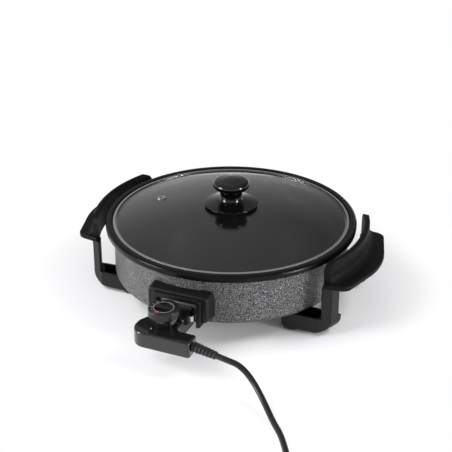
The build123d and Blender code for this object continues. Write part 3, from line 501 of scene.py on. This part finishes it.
def coil_stations():
    """Ends of the half turns: inwards in the lower layer, outwards in the upper one, then up to the plug."""
    half = COIL_PITCH / 2
    inner = COIL_OUTER_RADIUS - COIL_HALF_TURNS * half
    stations = []
    for step in range(COIL_HALF_TURNS + 1):
        stations.append(((-1) ** (step + 1) * (COIL_OUTER_RADIUS - step * half), COIL_CORD))
    for step in range(COIL_HALF_TURNS):
        stations.append(((-1) ** (step + COIL_HALF_TURNS) * (inner + step * half), COIL_CORD + COIL_LAYER))
    stations[-1] = (stations[-1][0], PLUG_HEIGHT)
    return stations


def make_cord():
    """Mains lead: down from the control to the table, into the tied coil and on to its plug."""
    stations = coil_stations()
    entry, low = stations[0]
    points = [Vector(p) * MM for p in CORD_ROUTE]
    points += [coil_point(entry, -CORD_THICKNESS - before, low) for before in (COIL_LEAD_IN, 0.0)]
    side = 1
    for (x0, z0), (x1, z1) in zip(stations, stations[1:]):
        middle = (x0 + x1) / 2
        level = (z0 + z1) / 2
        bow = hypot(x1 - x0, z1 - z0) / 2
        for step in range(COIL_POINTS):
            turn = pi * step / COIL_POINTS
            points.append(
                coil_point(
                    middle + (x0 - middle) * cos(turn),
                    side * bow * sin(turn),
                    level + (z0 - level) * cos(turn),
                )
            )
        side = -side
    tail, high = stations[-1]
    points += [coil_point(tail, along, high) for along in (0.0, PLUG_TAIL / 2, PLUG_TAIL)]
    curve = bpy.data.curves.new("mains_cord", "CURVE")
    curve.dimensions = "3D"
    # Each point carries the tube's radius, so the bevel itself is one
    curve.bevel_depth = 1.0
    curve.bevel_resolution = 5
    curve.resolution_u = 6
    curve.use_fill_caps = True
    spline = curve.splines.new("NURBS")
    spline.points.add(len(points) - 1)
    for target, point in zip(spline.points, points):
        target.co = (*point, 1.0)
        target.radius = CORD_DIAMETER / 2
    spline.order_u = 3
    spline.use_endpoint_u = True
    cord = new_object("mains_cord", curve, "control")
    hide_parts("cord_run", "cord_coil")
    return cord


def make_face(name, loops, faces, height, body, material):
    """Thin printed mark: flat faces just above a level surface."""
    mesh = bpy.data.meshes.new(name)
    mesh.from_pydata([(x * MM, y * MM, height * MM) for x, y in loops], [], faces)
    mark = new_object(name, mesh, body)
    paint(material, mark)


def arc_band(radii, start, end, steps):
    """Corners and faces of a band between two radii round the dial's axis."""
    corners = []
    for step in range(steps + 1):
        turn = radians(start + (end - start) * step / steps)
        for radius in radii:
            corners.append((DIAL_CENTRE[0] + radius * cos(turn), DIAL_CENTRE[1] + radius * sin(turn)))
    faces = [(2 * i, 2 * i + 1, 2 * i + 3, 2 * i + 2) for i in range(steps)]
    return corners, faces


def mark_dial(white, red):
    """Numbers, a ring and the red off mark on the dial, and the pointer on the shell."""
    top = DIAL_TOP + MARK_LIFT
    make_face("dial_ring", *arc_band(RING_RADII, 0, 360, RING_STEPS), top, "dial", white)
    make_face("dial_off_mark", *arc_band(OFF_RADII, *OFF_SPAN, OFF_STEPS), top, "dial", red)
    for number in range(1, NUMBER_COUNT + 1):
        turn = radians(NUMBER_START + (number - 1) * NUMBER_STEP)
        text = bpy.data.curves.new(f"dial_number_{number}", "FONT")
        text.body = str(number)
        text.size = NUMBER_SIZE * MM
        text.align_x = "CENTER"
        text.align_y = "CENTER"
        piece = bpy.data.objects.new(text.name, text)
        piece.location = (
            (DIAL_CENTRE[0] + NUMBER_RADIUS * cos(turn)) * MM,
            (DIAL_CENTRE[1] + NUMBER_RADIUS * sin(turn)) * MM,
            top * MM,
        )
        piece.rotation_euler = (0, 0, turn - pi / 2)
        bpy.context.scene.collection.objects.link(piece)
        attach(piece, "dial")
        piece.data.materials.append(white)
    x, y = POINTER
    half = POINTER_SIZE / 2
    corners = [(x, y + 2 * half), (x - half, y - half), (x + half, y - half)]
    make_face("pointer_mark", corners, [(0, 1, 2)], SHELL_TOP + MARK_LIFT, "control", white)


def make_camera():
    """Camera at the photograph's place."""
    azimuth = radians(VIEW_AZIMUTH)
    rise = radians(VIEW_ELEVATION)
    towards = Vector((sin(azimuth) * cos(rise), -cos(azimuth) * cos(rise), sin(rise)))
    lens = bpy.data.cameras.new("photo_camera")
    lens.sensor_width = SENSOR_WIDTH
    lens.lens = FOCAL_PIXELS / IMAGE_SIDE * SENSOR_WIDTH
    lens.clip_end = 100.0
    camera = bpy.data.objects.new("photo_camera", lens)
    camera.location = Vector(VIEW_TARGET) + towards * VIEW_DISTANCE
    camera.rotation_euler = towards.to_track_quat("Z", "Y").to_euler()
    bpy.context.scene.collection.objects.link(camera)
    bpy.context.scene.camera = camera


def make_floor():
    """Wide white floor. It fades to plain white away from the pan, as a lit sweep does."""
    mesh = bpy.data.meshes.new("studio_floor")
    half = FLOOR_SIDE / 2
    corners = [(-half, -half, 0), (half, -half, 0), (half, half, 0), (-half, half, 0)]
    mesh.from_pydata(corners, [], [(0, 1, 2, 3)])
    floor = bpy.data.objects.new("studio_floor", mesh)
    floor.location.z = -FLOOR_DROP
    bpy.context.scene.collection.objects.link(floor)
    material, tree, place = start_material("painted_studio_floor")
    radius = add(tree, "ShaderNodeVectorMath", {0: place}, operation="LENGTH").outputs["Value"]
    far = add(
        tree,
        "ShaderNodeMapRange",
        {"Value": radius, "From Min": FLOOR_NEAR, "From Max": FLOOR_FAR},
        interpolation_type="SMOOTHSTEP",
    )
    path = add(tree, "ShaderNodeLightPath")
    direct = add(
        tree,
        "ShaderNodeMath",
        {0: path.outputs["Is Camera Ray"], 1: path.outputs["Is Glossy Ray"]},
        operation="ADD",
        use_clamp=True,
    )
    seen = add(
        tree,
        "ShaderNodeMath",
        {0: direct.outputs[0], 1: path.outputs["Is Transmission Ray"]},
        operation="ADD",
        use_clamp=True,
    )
    share = add(tree, "ShaderNodeMath", {0: far.outputs[0], 1: seen.outputs[0]}, operation="MULTIPLY")
    matt = add(
        tree,
        "ShaderNodeBsdfPrincipled",
        {"Base Color": linear(FLOOR_COLOUR), "Roughness": 0.9, "Specular IOR Level": 0.1},
    )
    white = add(tree, "ShaderNodeEmission", {"Color": linear("#ffffff"), "Strength": 1.0})
    both = add(tree, "ShaderNodeMixShader", {0: share.outputs[0], 1: matt.outputs[0], 2: white.outputs[0]})
    add(tree, "ShaderNodeOutputMaterial", {"Surface": both.outputs[0]})
    mesh.materials.append(material)


def make_world():
    """Studio surroundings: bright low round the horizon, dim overhead, with a dark curtain on the right."""
    world = bpy.data.worlds.new("studio")
    world.use_nodes = True
    bpy.context.scene.world = world
    tree = world.node_tree
    tree.nodes.clear()
    place = add(tree, "ShaderNodeTexCoord").outputs["Generated"]
    rise = add(tree, "ShaderNodeSeparateXYZ", {0: place}).outputs["Z"]
    shade = ramp(add(tree, "ShaderNodeValToRGB", {0: rise}), *SKY_STOPS)
    turn = radians(VIEW_AZIMUTH + CURTAIN_AZIMUTH)
    near = add(
        tree,
        "ShaderNodeVectorMath",
        {0: place, 1: (sin(turn), -cos(turn), 0.0)},
        operation="DOT_PRODUCT",
    )
    strength = add(
        tree,
        "ShaderNodeMapRange",
        {
            "Value": near.outputs["Value"],
            "From Min": CURTAIN_REACH[0],
            "From Max": CURTAIN_REACH[1],
            "To Min": WORLD_STRENGTH,
            "To Max": WORLD_STRENGTH * CURTAIN_SHADE,
        },
        interpolation_type="SMOOTHSTEP",
    )
    glow = add(tree, "ShaderNodeBackground", {"Color": shade.outputs[0], "Strength": strength.outputs[0]})
    add(tree, "ShaderNodeOutputWorld", {"Surface": glow.outputs[0]})


def make_lamp(name, azimuth, elevation, distance, width, height, watts, mirrored):
    """Soft box at an azimuth from the camera's own, facing the pan. Glass and metal show it if mirrored."""
    lamp = bpy.data.lights.new(name, "AREA")
    lamp.shape = "RECTANGLE"
    lamp.size = width
    lamp.size_y = height
    lamp.energy = watts
    turn = radians(VIEW_AZIMUTH + azimuth)
    rise = radians(elevation)
    towards = Vector((sin(turn) * cos(rise), -cos(turn) * cos(rise), sin(rise)))
    box = bpy.data.objects.new(name, lamp)
    box.location = Vector(VIEW_TARGET) + towards * distance
    box.rotation_euler = towards.to_track_quat("Z", "Y").to_euler()
    box.visible_glossy = mirrored
    box.visible_transmission = mirrored
    bpy.context.scene.collection.objects.link(box)


def light_studio():
    """Two soft boxes high on both sides of the camera, the left one wider, with a low strip under each."""
    make_lamp("left_box", LEFT_AZIMUTH, BOX_ELEVATION, BOX_DISTANCE, *LEFT_SIZE, LEFT_WATTS, False)
    make_lamp("right_box", RIGHT_AZIMUTH, BOX_ELEVATION, BOX_DISTANCE, *RIGHT_SIZE, RIGHT_WATTS, False)
    low = (STRIP_ELEVATION, STRIP_DISTANCE)
    left = (LEFT_STRIP_WIDTH, STRIP_HEIGHT, LEFT_STRIP_WATTS)
    right = (RIGHT_STRIP_WIDTH, STRIP_HEIGHT, RIGHT_STRIP_WATTS)
    make_lamp("left_strip", LEFT_STRIP_AZIMUTH, *low, *left, True)
    make_lamp("right_strip", RIGHT_STRIP_AZIMUTH, *low, *right, True)


def finish_pieces(cord):
    """Gives every CAD node and the cord their materials."""
    # Black phenolic pressed in a satin mould: a soft, wide sheen on the surround and the legs
    satin = moulded(
        "phenolic_satin",
        "#0f0f10",
        "#131314",
        roughness=0.38,
        grit=0.9,
        depth=0.04,
        specular=0.28,
    )
    # The same resin, matt, in a darker colour with less sheen than the satin pieces: painted shade that keeps
    # the grips the darkest pieces
    grip = moulded("phenolic_matt_painted_shade", "#0a0a0b", "#0d0d0e", roughness=0.52, grit=0.9, depth=0.08, specular=0.12)
    # Buffed phenolic: deep black with small sharp lights on the knob and its skirt
    buffed = moulded(
        "phenolic_polished",
        "#050506",
        "#080809",
        roughness=0.13,
        grit=6.0,
        depth=0.01,
        coat=0.35,
        specular=0.38,
    )
    # ABS from a polished mould: a mirror-like black shell
    housing = moulded(
        "abs_glossy_black",
        "#0e0e10",
        "#121214",
        roughness=0.14,
        grit=5.0,
        depth=0.01,
        coat=0.5,
    )
    # ABS with a fine moulded grain, a shade greyer than the shell under it
    dial = moulded("abs_satin_grey", "#131315", "#19191b", roughness=0.26, grit=0.9, depth=0.03)
    # Moulded synthetic rubber: dull and slightly dusty
    rubber = moulded("synthetic_rubber", "#141415", "#1a1a1b", roughness=0.5, grit=0.8, depth=0.06)
    # Extruded PVC: a smooth sheath with one soft line of light along it
    sheath = moulded("pvc_sheath", "#101011", "#161617", roughness=0.36, grit=1.4, depth=0.03)
    # Injected PVC: like the sheath, with a dry moulded grain
    plug = moulded("pvc_plug", "#121213", "#171718", roughness=0.4, grit=0.8, depth=0.05)
    # Woven nylon: matt, with the weave as a coarse grain
    strap = moulded("nylon_strap", "#151515", "#1d1d1d", roughness=0.7, grit=0.6, depth=0.2)
    # Rolled and polished stainless steel: a bright line round the lid
    steel = metal("stainless_polished", "#bfbdb8", "#dad8d3", roughness=0.25, streak=0.6)
    # Zinc plating over pressed steel: pale and slightly cloudy
    plated = metal("steel_zinc_plated", "#b4b4b3", "#d6d6d4", roughness=0.42, streak=0.8)
    # Steel that has been hot: brown-grey oxide, little shine
    oxidised = metal("steel_oxidised", "#5c5752", "#77716a", roughness=0.45, streak=0.9)
    # Turned brass: yellow and bright
    brass = metal("brass_bright", "#a98b45", "#c7aa62", roughness=0.25, streak=0.7)
    # Nickel plating over brass: warm white and sharp
    nickel = metal("brass_nickel_plated", "#b5b2aa", "#d0cdc6", roughness=0.18, streak=0.7)
    # Fired, unglazed steatite: chalky off-white
    ceramic = moulded("steatite_ceramic", "#d8d3c8", "#e4e0d6", roughness=0.45, grit=0.7, depth=0.04)
    paint(pan_finish(), "pan_body")
    paint(clear_glass(), "lid_glass")
    paint(satin, "socket_shroud", "front_right_leg", "rear_right_leg", "front_left_leg", "rear_left_leg")
    paint(grip, "right_grip", "left_grip")
    paint(buffed, "knob_skirt", "lid_knob")
    paint(housing, "control_top", "control_base")
    paint(dial, "heat_dial")
    paint(rubber, "foot_pads", "knob_seal", "strain_relief")
    paint(plug, "mains_plug")
    paint(strap, "cord_tie")
    paint(steel, "lid_band", "vent_eyelet", "heat_probe")
    paint(plated, "terminal_pins", "socket_plate", "shroud_screws", "leg_screws", "grip_screws")
    paint(plated, "knob_washer", "knob_screw", "control_screws", "thermostat_bracket", "dial_spindle")
    paint(oxidised, "heating_element", "bimetal_blade")
    paint(brass, "contact_sleeves")
    paint(nickel, "plug_pins", "earth_springs")
    paint(ceramic, "terminal_beads", "ceramic_posts")
    paint(sheath, cord)


make_camera()
cord = make_cord()
make_floor()
make_world()
light_studio()
finish_pieces(cord)
mark_dial(printed("ink_white", "#a9a9ab"), printed("ink_red", "#a01a26"))

scene = bpy.context.scene
scene.view_settings.view_transform = "Standard"
